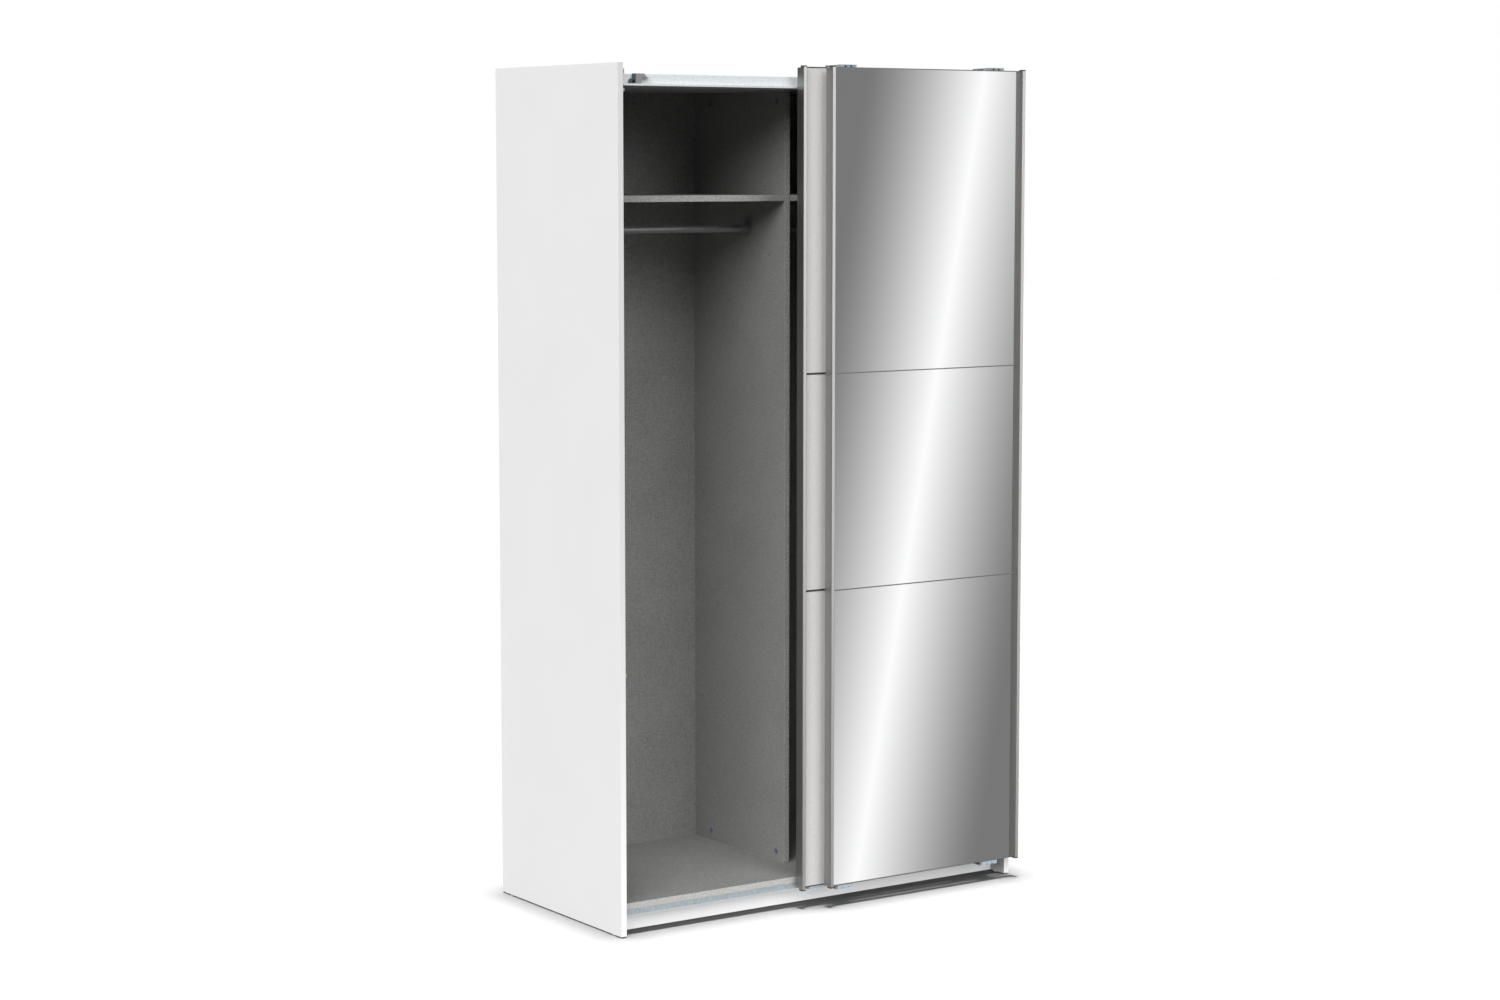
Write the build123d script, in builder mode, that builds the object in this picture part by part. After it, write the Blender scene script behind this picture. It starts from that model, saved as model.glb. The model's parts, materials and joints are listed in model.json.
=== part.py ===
from build123d import *
import os

# Sliding door wardrobe: a board cabinet with a mirrored outer door and a plain inner door.
# Millimetres, +Z up. Facing the doors, +X is to the right and +Y is to the back.
# The origin is on the floor, midway across the width, and midway between the outer door's front
# and the back sheets. Both doors stand at the right-hand end of their travel.

# ---------------------------------------------------------------- driving dimensions

# Boards
board = 15.0
back_sheet = 3.0
board_edge_break = 0.5

# Carcass
overall_width = 1165.0
carcass_height = 2030.0
side_depth = 555.0
glide_height = 3.0
plinth_top = 60.0
plinth_setback = 55.0
rear_plinth_setback = 40.0
top_panel_drop = 39.0
divider_setback = 135.0
shelf_end_gap = 1.0
shelf_back_gap = 2.0
sheet_edge_inset = 2.0

# Rows of shelf-pin holes
hole_pitch = 64.0
holes_per_group = 3
lower_holes_height = 381.5
upper_holes_height = 1581.0
front_row_inset = 69.0
back_row_inset = 31.5
pin_radius = 2.5
pin_hole_depth = 7.5
pin_shown = 9.0
pin_fit = 0.05

# Knock-down joints
cam_radius = 7.5
cam_depth = 12.0
cam_reach = 24.0
cam_front_inset = 34.0
cam_back_inset = 72.5
cam_fit = 0.1
cam_slot = 1.6
bolt_radius = 3.0
bolt_grip = 10.0
bolt_bore_radius = 3.6
dowel_radius = 4.0
dowel_in_face = 9.0
dowel_in_end = 19.0
dowel_spacing = 64.0
dowel_fit = 0.05
dowel_end_gap = 1.0

# Hanging rails
rail_radius = 9.0
rail_wall = 1.2
rail_drop = 68.5
rail_inset = 156.0
rail_end_gap = 0.5
socket_base = 3.0
socket_length = 50.0
socket_width = 28.0
socket_rise = 6.25
socket_cup_depth = 12.0
socket_cup_wall = 3.0
socket_screw_pitch = 32.0
socket_screw_drop = 14.5
spare_socket_holes_drop = 22.5

# Wood screws
screw_radius = 1.75
screw_head_radius = 3.5
screw_head_height = 1.4
screw_length = 10.0
screw_fit = 0.05
recess_width = 0.8

# Feet and wall brackets
glide_radius = 6.5
glide_inset = 40.0
glide_pin_radius = 1.25
glide_pin_length = 12.0
bracket_plate = 2.0
wall_bracket_width = 24.0
wall_bracket_foot = 34.0
wall_bracket_rise = 34.0
wall_bracket_inset = 167.5
wall_hole_radius = 3.25
wall_hole_height = 22.0
nail_radius = 0.7
nail_head_radius = 1.6
nail_head_height = 0.6
nail_length = 18.0
nails_up_side = 9
nails_across = 4
nail_end_inset = 60.0

# Top track and guide rail
track_sheet = 1.5
track_end_gap = 1.0
track_rise = 3.0
track_face_height = 26.0
track_lip_height = 4.5
inner_lane = 17.0
outer_lane = 16.0
track_foot = 24.0
bead_radius = 1.5
fixing_end_inset = 57.5
fixing_count = 5
rail_wall_height = 15.0
guide_lane = 14.0
rivet_radius = 2.0
rivet_head_radius = 4.0
rivet_head_height = 0.9

# Doors
door_width = 589.0
door_proud = 41.0
door_gap = 3.5
track_gap = 8.0
door_rise = 2.0
outer_door_bottom = 49.0
inner_door_bottom = 45.5
outer_end_inset = 2.5
inner_door_lead = 63.0
bumper_radius = 5.0
bumper_height = 6.0
bumper_pin_radius = 2.0
bumper_pin_length = 8.0
bumper_setback = 7.5
lower_bumper_height = 619.5
upper_bumper_drop = 62.0
rest_gap = 0.3

# Door frames and panels
stile_face = 10.0
stile_depth = 26.0
stile_wall = 1.5
stile_nose_radius = 1.2
panel_recess = 13.0
panel_thickness = 11.0
mirror_thickness = 3.0
panel_bottom = 51.5
panel_top_drop = 3.5
end_panel_height = 726.5
strip_web = 1.6
strip_flange = 1.0
outer_strip_height = 2.6
inner_strip_height = 4.4
edge_strip = 1.0
edge_strip_height = 2.4
cap_height = 3.0
cap_plug_length = 12.0
cap_fit = 0.2
stile_end_step = 2.0

# Door hardware
bracket_width = 48.0
left_bracket_inset = 32.0
right_bracket_inset = 58.0
wheel_inset = 36.0
arm_inset = 16.0
bracket_upright = 70.0
bracket_screw_pitch = 30.0
bracket_screw_length = 8.0
tray_gap = 1.0
strip_gap = 0.5
arm_gap = 1.5
rail_arm_gap = 1.0
notch_radius = 2.5
notch_depth = 4.5
notch_spacing = 16.0
wheel_width = 10.0
outer_wheel_radius = 9.0
inner_wheel_radius = 7.5
wheel_track_gap = 0.3
wheel_side_gap = 2.0
wheel_dish = 1.5
wheel_hub_wall = 1.7
wheel_rim_wall = 1.8
groove_radius = 2.1
axle_radius = 2.5
axle_fit = 0.05
axle_collar_radius = 3.5
axle_head_radius = 3.8
axle_head = 1.0
axle_end_gap = 0.5
flange_reach = 8.0
guide_radius = 6.0
guide_height = 9.5
guide_clear = 2.5

# End stops
stop_body_width = 16.5
stop_nose = 13.0
stop_shoulder = 6.5
stop_side_gap = 0.5
stop_slot = 4.0
leaf_thickness = 0.8
leaf_reach = 24.0
leaf_rise = 1.8
leaf_wheel_gap = 1.2
leaf_tip = 0.2
loop_width = 12.0
loop_height = 15.0
loop_wall = 2.0
top_stop_length = 20.0
top_stop_height = 13.0
top_stop_seat = 4.0
top_stop_back = 3.0
top_stop_skirt = 8.0

# ---------------------------------------------------------------- places worked out from them

half_width = overall_width / 2
inside = half_width - board
y_front = -(door_proud + side_depth + back_sheet) / 2
side_front = y_front + door_proud
side_back = side_front + side_depth
y_back = side_back + back_sheet

outer_front = y_front
outer_back = outer_front + stile_depth
inner_front = outer_back + door_gap
inner_back = inner_front + stile_depth
track_front = inner_back + track_gap
lane_wall_front = track_front + inner_lane
top_panel_front = lane_wall_front + track_sheet
divider_front = track_front + divider_setback

floor_top = plinth_top + board
top_panel_top = carcass_height - top_panel_drop
top_panel_under = top_panel_top - board
top_pin_height = upper_holes_height + hole_pitch * (holes_per_group - 1)
shelf_under = top_pin_height + pin_radius
rail_height = shelf_under - rail_drop
rail_y = divider_front + rail_inset

upper_bumper_height = carcass_height - upper_bumper_drop
door_top = carcass_height + door_rise
panel_top = door_top - panel_top_drop
outer_left = half_width - outer_end_inset - door_width
inner_left = outer_left - inner_door_lead
inner_closed_left = -inside + bumper_height + rest_gap
outer_closed_left = -half_width + outer_end_inset
seams = (panel_bottom + end_panel_height, panel_top - end_panel_height)

lane_floor = top_panel_under + track_rise + track_sheet
track_top = top_panel_under + track_rise + track_face_height
hat_back = lane_wall_front + outer_lane
hat_centre = (lane_wall_front + hat_back) / 2
inner_lane_centre = (track_front + track_sheet + lane_wall_front) / 2
outer_wheel_height = track_top + wheel_track_gap + outer_wheel_radius
inner_wheel_height = lane_floor + wheel_track_gap + inner_wheel_radius
outer_axle_end = hat_centre + wheel_width / 2 + wheel_side_gap
inner_guide_y = track_front + track_sheet + guide_lane / 2
outer_guide_y = inner_guide_y + guide_lane + track_sheet
rail_wall_bottom = plinth_top - rail_wall_height

arm_bottom = door_top + arm_gap
arm_top = arm_bottom + bracket_plate
inner_arm_top = rail_wall_bottom - rail_arm_gap
outer_arm_top = inner_arm_top - bracket_plate - arm_gap

bracket_starts = (left_bracket_inset, door_width - right_bracket_inset - bracket_width)
left_wheel, right_wheel = [start + wheel_inset for start in bracket_starts]
fixing_reach = inside - fixing_end_inset
fixings = [fixing_reach * (2 * i / (fixing_count - 1) - 1) for i in range(fixing_count)]
cam_rows = (divider_front + cam_front_inset, side_back - cam_back_inset)
dowel_rows = (cam_rows[0] + dowel_spacing, cam_rows[1] - dowel_spacing)
pin_rows = (divider_front + front_row_inset, side_back - back_row_inset)
pin_heights = [
    start + hole_pitch * i
    for start in (lower_holes_height, upper_holes_height)
    for i in range(holes_per_group)
]
socket_screw_heights = (
    rail_height - socket_screw_drop,
    rail_height - socket_screw_drop + socket_screw_pitch,
)
spare_hole_heights = (
    top_panel_under - spare_socket_holes_drop,
    top_panel_under - spare_socket_holes_drop - socket_screw_pitch,
)
plinth_middle = (glide_height + plinth_top) / 2
rear_plinth_y = side_back - rear_plinth_setback - board
front_plinth_y = side_front + plinth_setback
wall_bracket_x = inside - wall_bracket_inset

# ---------------------------------------------------------------- small shapes used throughout


def block(x, y, z, mode=Mode.ADD):
    """A box between two limits on each axis."""
    with Locations(tuple((low + high) / 2 for low, high in (x, y, z))):
        Box(x[1] - x[0], y[1] - y[0], z[1] - z[0], mode=mode)


def rods(places, radius, length, mode=Mode.ADD):
    """Round bars, or with Mode.SUBTRACT round holes. Each place is a start and a direction."""
    with Locations(*[Plane(origin=start, z_dir=direction) for start, direction in places]):
        Cylinder(radius, length, align=(Align.CENTER, Align.CENTER, Align.MIN), mode=mode)


def make_screw(length):
    """A countersunk screw with a cross recess, its head at the origin and its shank along +Z."""
    sunk = (Align.CENTER, Align.CENTER, Align.MIN)
    with BuildPart() as screw:
        Cone(screw_head_radius, screw_radius, screw_head_height, align=sunk)
        Cylinder(screw_radius, length, align=sunk)
        Box(screw_head_radius, recess_width, screw_head_height, align=sunk, mode=Mode.SUBTRACT)
        Box(recess_width, screw_head_radius, screw_head_height, align=sunk, mode=Mode.SUBTRACT)
    return screw.part


def screws(heads, screw):
    """Copies of a screw. Each head is the centre of its face and the way it is driven."""
    with Locations(*[Plane(origin=centre, z_dir=into) for centre, into in heads]):
        add(screw)


def screw_holes(heads, length, countersunk=True):
    """The holes that screws of that length sit in."""
    wide, narrow = screw_head_radius + screw_fit, screw_radius + screw_fit
    rods(heads, narrow, length, Mode.SUBTRACT)
    if countersunk:
        with Locations(*[Plane(origin=centre, z_dir=into) for centre, into in heads]):
            Cone(wide, narrow, screw_head_height, align=(Align.CENTER, Align.CENTER, Align.MIN),
                 mode=Mode.SUBTRACT)


wood_screw = make_screw(screw_length)
bracket_screw = make_screw(bracket_screw_length)
pieces = {}


def keep(name, piece):
    """Files a finished piece under the name it is written with."""
    pieces[name] = piece


# ---------------------------------------------------------------- joints between the boards

# A knock-down joint is a cam in one board's face and a bolt out of the other board. The two lists
# go together: where each cam's face is and which way it is sunk, and where each bolt's boards meet
# and which way it runs to its cam.
cams = []
bolts = []
for y in cam_rows:
    cams += [((-board / 2, y, floor_top + cam_reach), (1, 0, 0))]
    bolts += [((0, y, floor_top), (0, 0, 1))]
    cams += [((-board / 2, y, top_panel_under - cam_reach), (1, 0, 0))]
    bolts += [((0, y, top_panel_under), (0, 0, -1))]
    for side in (-1, 1):
        cam_x = side * (inside - cam_reach)
        cams += [((cam_x, y, top_panel_top), (0, 0, -1)), ((cam_x, y, plinth_top), (0, 0, 1))]
        bolts += [((side * inside, y, top_panel_top - board / 2), (-side, 0, 0))]
        bolts += [((side * inside, y, plinth_top + board / 2), (-side, 0, 0))]

# Dowels run the same way as bolts, from the point where the boards meet.
dowels = []
for y in dowel_rows:
    dowels += [((0, y, floor_top), (0, 0, 1)), ((0, y, top_panel_under), (0, 0, -1))]
    for side in (-1, 1):
        dowels += [((side * inside, y, top_panel_under + board / 2), (-side, 0, 0))]
        dowels += [((side * inside, y, plinth_top + board / 2), (-side, 0, 0))]
for y in (front_plinth_y + board / 2, rear_plinth_y + board / 2):
    dowels += [((side * inside, y, plinth_middle), (-side, 0, 0)) for side in (-1, 1)]
dowels += [((0, front_plinth_y + board, plinth_middle), (0, 1, 0))]
dowels += [((0, rear_plinth_y, plinth_middle), (0, -1, 0))]


def shifted(places, distance):
    """The same places, moved along their own directions."""
    return [
        (tuple(p + d * distance for p, d in zip(start, direction)), direction)
        for start, direction in places
    ]


def near(places, low, high):
    """The places whose X lies between two limits."""
    return [place for place in places if low <= place[0][0] <= high]


def bore_joints(low, high):
    """Cuts the cam, bolt and dowel holes of a board that spans those limits in X."""
    board_cams, board_bolts = near(cams, low, high), near(bolts, low, high)
    if board_cams:
        rods(board_cams, cam_radius, cam_depth + cam_fit, Mode.SUBTRACT)
    rods(shifted(board_bolts, -bolt_grip), bolt_radius + pin_fit, bolt_grip, Mode.SUBTRACT)
    rods(board_bolts, bolt_bore_radius, cam_reach, Mode.SUBTRACT)
    bore_dowels(low, high)


def bore_dowels(low, high):
    """Cuts the dowel holes of a board that spans those limits in X."""
    board_dowels = shifted(near(dowels, low, high), -dowel_in_face - dowel_end_gap)
    length = dowel_in_face + dowel_in_end + 2 * dowel_end_gap
    rods(board_dowels, dowel_radius + dowel_fit, length, Mode.SUBTRACT)


def ease_front(builder):
    """Takes the sharpness off a board's front edges."""
    front = builder.faces().sort_by(Axis.Y)[0]
    chamfer(front.edges(), board_edge_break)


# ---------------------------------------------------------------- carcass boards

track_screw_places = [(x, hat_back + track_foot / 2) for x in fixings]
wall_screw_places = [
    (side * wall_bracket_x + shift * wall_bracket_width / 4, y_back - wall_bracket_foot / 2)
    for side in (-1, 1)
    for shift in (-1, 1)
]
rivet_places = [((x, inner_guide_y, plinth_top), (0, 0, 1)) for x in fixings]
glide_places = [
    ((side * (half_width - board / 2), y, 0), (0, 0, 1))
    for side in (-1, 1)
    for y in (side_front + glide_inset, side_back - glide_inset)
]
bumper_places = [
    ((side * inside, side_front + bumper_setback, z), (side, 0, 0))
    for side in (-1, 1)
    for z in (lower_bumper_height, upper_bumper_height)
]

for side, name in ((-1, "side_panel_left"), (1, "side_panel_right")):
    with BuildPart() as side_panel:
        x = sorted((side * inside, side * half_width))
        block(x, (side_front, side_back), (glide_height, carcass_height))
        ease_front(side_panel)
        chamfer(side_panel.faces().sort_by(Axis.Z)[-1].edges().filter_by(Axis.Y), board_edge_break)
        bore_joints(*x)
        pins = [((side * inside, y, z), (side, 0, 0)) for y in pin_rows for z in pin_heights]
        rods(pins, pin_radius + pin_fit, pin_hole_depth, Mode.SUBTRACT)
        heights = socket_screw_heights + spare_hole_heights
        sockets = [((side * inside, rail_y, z), (side, 0, 0)) for z in heights]
        screw_holes(sockets, screw_length - socket_base, False)
        rods(near(bumper_places, *x), bumper_pin_radius + pin_fit, bumper_pin_length, Mode.SUBTRACT)
        rods(near(glide_places, *x), glide_pin_radius + pin_fit, glide_height + glide_pin_length,
             Mode.SUBTRACT)
    keep(name, side_panel)

with BuildPart() as top_panel:
    block((-inside, inside), (top_panel_front, side_back), (top_panel_under, top_panel_top))
    bore_joints(-inside, inside)
    down = [((x, y, top_panel_top), (0, 0, -1)) for x, y in track_screw_places]
    screw_holes(down, screw_length - track_sheet, False)
    down = [((x, y, top_panel_top), (0, 0, -1)) for x, y in wall_screw_places]
    screw_holes(down, screw_length - bracket_plate, False)
keep("top_panel", top_panel)

with BuildPart() as bottom_panel:
    block((-inside, inside), (track_front, side_back), (plinth_top, floor_top))
    ease_front(bottom_panel)
    bore_joints(-inside, inside)
    rods(rivet_places, rivet_radius + pin_fit, board, Mode.SUBTRACT)
keep("bottom_panel", bottom_panel)

with BuildPart() as divider:
    block((-board / 2, board / 2), (divider_front, side_back), (floor_top, top_panel_under))
    ease_front(divider)
    bore_joints(-board / 2, board / 2)
    pins = [((-board / 2, y, z), (1, 0, 0)) for y in pin_rows for z in pin_heights]
    rods(pins, pin_radius + pin_fit, board, Mode.SUBTRACT)
    heights = socket_screw_heights + spare_hole_heights
    sockets = [((side * board / 2, rail_y, z), (-side, 0, 0)) for side in (-1, 1) for z in heights]
    screw_holes(sockets, screw_length - socket_base, False)
keep("divider", divider)

for side, name in ((-1, "shelf_left"), (1, "shelf_right")):
    with BuildPart() as shelf:
        x = sorted((side * (board / 2 + shelf_end_gap), side * (inside - shelf_end_gap)))
        block(x, (divider_front, side_back - shelf_back_gap), (shelf_under, shelf_under + board))
        ease_front(shelf)
    keep(name, shelf)

for name, plinth_y in (("front_plinth", front_plinth_y), ("rear_plinth", rear_plinth_y)):
    with BuildPart() as plinth:
        block((-inside, inside), (plinth_y, plinth_y + board), (glide_height, plinth_top))
        bore_dowels(-inside, inside)
    keep(name, plinth)

with BuildPart() as plinth_cross_rail:
    block((-board / 2, board / 2), (front_plinth_y + board, rear_plinth_y), (glide_height, plinth_top))
    bore_dowels(-board / 2, board / 2)
keep("plinth_cross_rail", plinth_cross_rail)

# ---------------------------------------------------------------- back sheets and their nails

sheet_low = plinth_top + sheet_edge_inset
sheet_high = top_panel_top - sheet_edge_inset
for side, name in ((-1, "back_sheet_left"), (1, "back_sheet_right")):
    with BuildPart() as sheet:
        x = sorted((0, side * (half_width - sheet_edge_inset)))
        block(x, (side_back, y_back), (sheet_low, sheet_high))
    keep(name, sheet)


def spread(low, high, count):
    """Evenly spaced values from one limit to the other."""
    return [low + (high - low) * i / (count - 1) for i in range(count)]


with BuildPart() as back_sheet_nails:
    nails = []
    for side in (-1, 1):
        for z in spread(sheet_low + nail_end_inset, sheet_high - nail_end_inset, nails_up_side):
            for x in (side * (half_width - board / 2), side * board / 4):
                nails += [((x, y_back, z), (0, -1, 0))]
        for x in spread(board + nail_end_inset, inside - nail_end_inset, nails_across):
            for z in (plinth_top + board / 2, top_panel_under + board / 2):
                nails += [((side * x, y_back, z), (0, -1, 0))]
    rods(nails, nail_radius, nail_length)
    rods(nails, nail_head_radius, nail_head_height)
keep("back_sheet_nails", back_sheet_nails)

# ---------------------------------------------------------------- cams, bolts, dowels and pins

with BuildPart() as cam_locks:
    rods(cams, cam_radius - cam_fit, cam_depth)
    rods(bolts, bolt_bore_radius, cam_reach + bolt_radius, Mode.SUBTRACT)
    with Locations(*[Plane(origin=face, z_dir=into) for face, into in cams]):
        Box(cam_radius, cam_slot, 2 * cam_slot, mode=Mode.SUBTRACT)
        Box(cam_slot, cam_radius, 2 * cam_slot, mode=Mode.SUBTRACT)
keep("cam_locks", cam_locks)

with BuildPart() as cam_bolts:
    rods(shifted(bolts, -bolt_grip), bolt_radius, bolt_grip + cam_reach)
keep("cam_bolts", cam_bolts)

with BuildPart() as wood_dowels:
    rods(shifted(dowels, -dowel_in_face), dowel_radius, dowel_in_face + dowel_in_end)
keep("wood_dowels", wood_dowels)

inner_faces = ((-inside, 1), (-board / 2, -1), (board / 2, 1), (inside, -1))
with BuildPart() as shelf_pins:
    pins = [((x, y, top_pin_height), (out, 0, 0)) for x, out in inner_faces for y in pin_rows]
    sunk = pin_hole_depth - pin_fit
    rods(shifted(pins, -sunk), pin_radius, sunk + pin_shown)
keep("shelf_pins", shelf_pins)

# ---------------------------------------------------------------- hanging rails and sockets

for side, name in ((-1, "hanging_rail_left"), (1, "hanging_rail_right")):
    with BuildPart() as hanging_rail:
        end = (side * (board / 2 + socket_base + rail_end_gap), rail_y, rail_height)
        rail_length = inside - board / 2 - 2 * (socket_base + rail_end_gap)
        rods([(end, (side, 0, 0))], rail_radius, rail_length)
        rods([(end, (side, 0, 0))], rail_radius - rail_wall, rail_length, Mode.SUBTRACT)
    keep(name, hanging_rail)

socket_screws = [
    ((face + out * socket_base, rail_y, z), (-out, 0, 0))
    for face, out in inner_faces
    for z in socket_screw_heights
]
with BuildPart() as rail_sockets:
    bases = [
        Plane(origin=(face, rail_y, rail_height + socket_rise), x_dir=(0, 0, 1), z_dir=(out, 0, 0))
        for face, out in inner_faces
    ]
    with BuildSketch(*bases):
        SlotOverall(socket_length, socket_width)
    extrude(amount=socket_base)
    cups = [((face, rail_y, rail_height), (out, 0, 0)) for face, out in inner_faces]
    cup_bore = rail_radius + pin_fit
    rods(cups, cup_bore + socket_cup_wall, socket_cup_depth)
    cup_room = socket_cup_depth - socket_base
    rods(shifted(cups, socket_base), cup_bore, cup_room, Mode.SUBTRACT)
    rods(shifted(socket_screws, -cup_room), screw_head_radius + screw_fit, cup_room, Mode.SUBTRACT)
    screw_holes(socket_screws, screw_length)
keep("rail_sockets", rail_sockets)

# ---------------------------------------------------------------- feet, wall brackets, bumpers

with BuildPart() as foot_glides:
    rods(glide_places, glide_radius, glide_height)
    rods(glide_places, glide_pin_radius, glide_height + glide_pin_length)
keep("foot_glides", foot_glides)

wall_screws = [((x, y, top_panel_top + bracket_plate), (0, 0, -1)) for x, y in wall_screw_places]
with BuildPart() as wall_brackets:
    for side in (-1, 1):
        middle = side * wall_bracket_x
        x = (middle - wall_bracket_width / 2, middle + wall_bracket_width / 2)
        block(x, (y_back - wall_bracket_foot, y_back), (top_panel_top, top_panel_top + bracket_plate))
        block(x, (y_back - bracket_plate, y_back), (top_panel_top, top_panel_top + wall_bracket_rise))
        hole = (middle, y_back, top_panel_top + wall_hole_height)
        rods([(hole, (0, -1, 0))], wall_hole_radius, bracket_plate, Mode.SUBTRACT)
    screw_holes(wall_screws, screw_length)
keep("wall_brackets", wall_brackets)

with BuildPart() as side_bumpers:
    rods(shifted(bumper_places, -bumper_height), bumper_radius, bumper_height)
    fillet(side_bumpers.edges().filter_by(
        lambda edge: abs(edge.center().X) < inside - bumper_height / 2), bumper_radius / 2.5)
    rods(bumper_places, bumper_pin_radius, bumper_pin_length)
keep("side_bumpers", side_bumpers)

# ---------------------------------------------------------------- top track and guide rail

track_x = (-inside + track_end_gap, inside - track_end_gap)
track_screws = [((x, y, top_panel_top + track_sheet), (0, 0, -1)) for x, y in track_screw_places]
with BuildPart() as top_track:
    lane_base = lane_floor - track_sheet
    block(track_x, (track_front, track_front + track_sheet), (lane_base, lane_base + track_lip_height))
    block(track_x, (track_front, top_panel_front), (lane_base, lane_floor))
    block(track_x, (lane_wall_front, top_panel_front), (lane_base, track_top))
    block(track_x, (lane_wall_front, hat_back), (track_top - track_sheet, track_top))
    block(track_x, (hat_back - track_sheet, hat_back), (top_panel_top, track_top))
    block(track_x, (hat_back - track_sheet, hat_back + track_foot),
          (top_panel_top, top_panel_top + track_sheet))
    rods([((track_x[0], hat_centre, track_top), (1, 0, 0))], bead_radius, track_x[1] - track_x[0])
    screw_holes(track_screws, screw_length)
keep("top_track", top_track)

with BuildPart() as guide_rail:
    rail_y_limits = (track_front, track_front + 3 * track_sheet + 2 * guide_lane)
    block(track_x, rail_y_limits, (plinth_top - track_sheet, plinth_top))
    for i in range(3):
        wall_front = track_front + i * (guide_lane + track_sheet)
        block(track_x, (wall_front, wall_front + track_sheet), (rail_wall_bottom, plinth_top))
    rods(shifted(rivet_places, -track_sheet), rivet_radius + pin_fit, track_sheet, Mode.SUBTRACT)
keep("guide_rail", guide_rail)

with BuildPart() as guide_rail_rivets:
    under = shifted(rivet_places, -track_sheet - rivet_head_height)
    rods(under, rivet_radius, track_sheet + board + 2 * rivet_head_height)
    rods(under + shifted(rivet_places, board), rivet_head_radius, rivet_head_height)
keep("guide_rail_rivets", guide_rail_rivets)

# The screws of the rail sockets, the wall brackets and the top track are all alike.
with BuildPart() as wood_screws:
    screws(socket_screws + wall_screws + track_screws, wood_screw)
keep("wood_screws", wood_screws)

# ---------------------------------------------------------------- end stops

# The wheels of the inner door come to rest against a stop at each end of their lane, and the
# bracket arms of the outer door against a block behind the track's top. Each is the face that is
# met and the side of it that the stop is on.
lane_stops = (
    (inner_closed_left + left_wheel - inner_wheel_radius - rest_gap, -1),
    (inner_left + right_wheel + inner_wheel_radius + rest_gap, 1),
)
top_stops = (
    (outer_closed_left + bracket_starts[0] + arm_inset - rest_gap, -1),
    (outer_left + bracket_starts[1] + bracket_width + rest_gap, 1),
)
stop_front = track_front + track_sheet + stop_side_gap
stop_back = lane_wall_front - stop_side_gap
leaf_under = inner_wheel_height + inner_wheel_radius + leaf_wheel_gap
leaf_top = leaf_under + leaf_thickness
stop_top = track_top + bead_radius


def lane_shape(outlines):
    """Straight-sided outlines in X and Z, drawn out across the front lane."""
    for outline in outlines:
        with BuildSketch(Plane.XZ.offset(-stop_back)) as side_view:
            with BuildLine():
                Polyline(*outline, close=True)
            make_face()
        extrude(side_view.sketch, amount=stop_back - stop_front)


with BuildPart() as end_stops:
    lane_shape([
        [
            (face + away * stop_body_width, lane_floor),
            (face, lane_floor),
            (face, leaf_under),
            (face + away * stop_slot, leaf_under),
            (face + away * stop_slot, leaf_top),
            (face - away * stop_nose, leaf_top),
            (face - away * stop_nose, leaf_top + leaf_rise),
            (face - away * stop_shoulder, stop_top),
            (face + away * stop_body_width, stop_top),
        ]
        for face, away in lane_stops
    ])
    for face, away in top_stops:
        x = sorted((face, face + away * top_stop_length))
        behind = (hat_back, hat_back + top_stop_back)
        block(x, (hat_back - top_stop_seat, behind[1]), (track_top, track_top + top_stop_height))
        block(x, behind, (track_top - top_stop_skirt, track_top))
keep("end_stops", end_stops)

with BuildPart() as stop_leaves:
    lane_shape([
        [
            (face + away * stop_slot, leaf_under),
            (face - away * stop_nose, leaf_under),
            (face - away * leaf_reach, leaf_under + leaf_rise),
            (face - away * leaf_reach, leaf_under + leaf_rise + leaf_tip),
            (face - away * stop_nose, leaf_top),
            (face + away * stop_slot, leaf_top),
        ]
        for face, away in lane_stops
    ])
keep("stop_leaves", stop_leaves)

with BuildPart() as stop_buffers:
    with BuildSketch(Plane.XZ.offset(-stop_back)):
        fars = [(face + away * stop_body_width, away) for face, away in lane_stops]
        loops = [(far + away * loop_width / 2, lane_floor + loop_height / 2) for far, away in fars]
        with Locations(*loops):
            Ellipse(loop_width / 2, loop_height / 2)
        with Locations(*[(far + away * loop_wall / 2, (lane_floor + stop_top) / 2)
                         for far, away in fars]):
            Rectangle(loop_wall, stop_top - lane_floor)
        with Locations(*loops):
            Ellipse(loop_width / 2 - loop_wall, loop_height / 2 - loop_wall, mode=Mode.SUBTRACT)
    extrude(amount=stop_back - stop_front)
keep("stop_buffers", stop_buffers)

# ---------------------------------------------------------------- door frames


def door_stile(left, front, bottom, side):
    """One aluminium upright: a hollow nose, a groove for the panel and a back lip."""
    outer_x = left if side < 0 else left + door_width
    middle = outer_x - side * stile_face / 2
    lip_depth = stile_depth - panel_recess - panel_thickness
    with BuildPart() as stile:
        with BuildSketch(Plane.XY.offset(bottom + cap_height)):
            with Locations((middle, front + panel_recess / 2)):
                Rectangle(stile_face, panel_recess)
                Rectangle(stile_face - 2 * stile_wall, panel_recess - 2 * stile_wall,
                          mode=Mode.SUBTRACT)
            with Locations((outer_x - side * stile_wall / 2, front + stile_depth / 2)):
                Rectangle(stile_wall, stile_depth)
            with Locations((middle, front + stile_depth - lip_depth / 2)):
                Rectangle(stile_face, lip_depth)
        extrude(amount=door_top - bottom - 2 * cap_height)
        fillet(stile.edges().filter_by(Axis.Z).group_by(Axis.Y)[0], stile_nose_radius)
        x = (middle - stile_face, middle + stile_face)
        y = (front + panel_recess, front + stile_depth)
        low, high = bottom + cap_height, door_top - cap_height
        block(x, y, (low, low + stile_end_step), Mode.SUBTRACT)
        block(x, y, (high - stile_end_step, high), Mode.SUBTRACT)
    return stile


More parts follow.
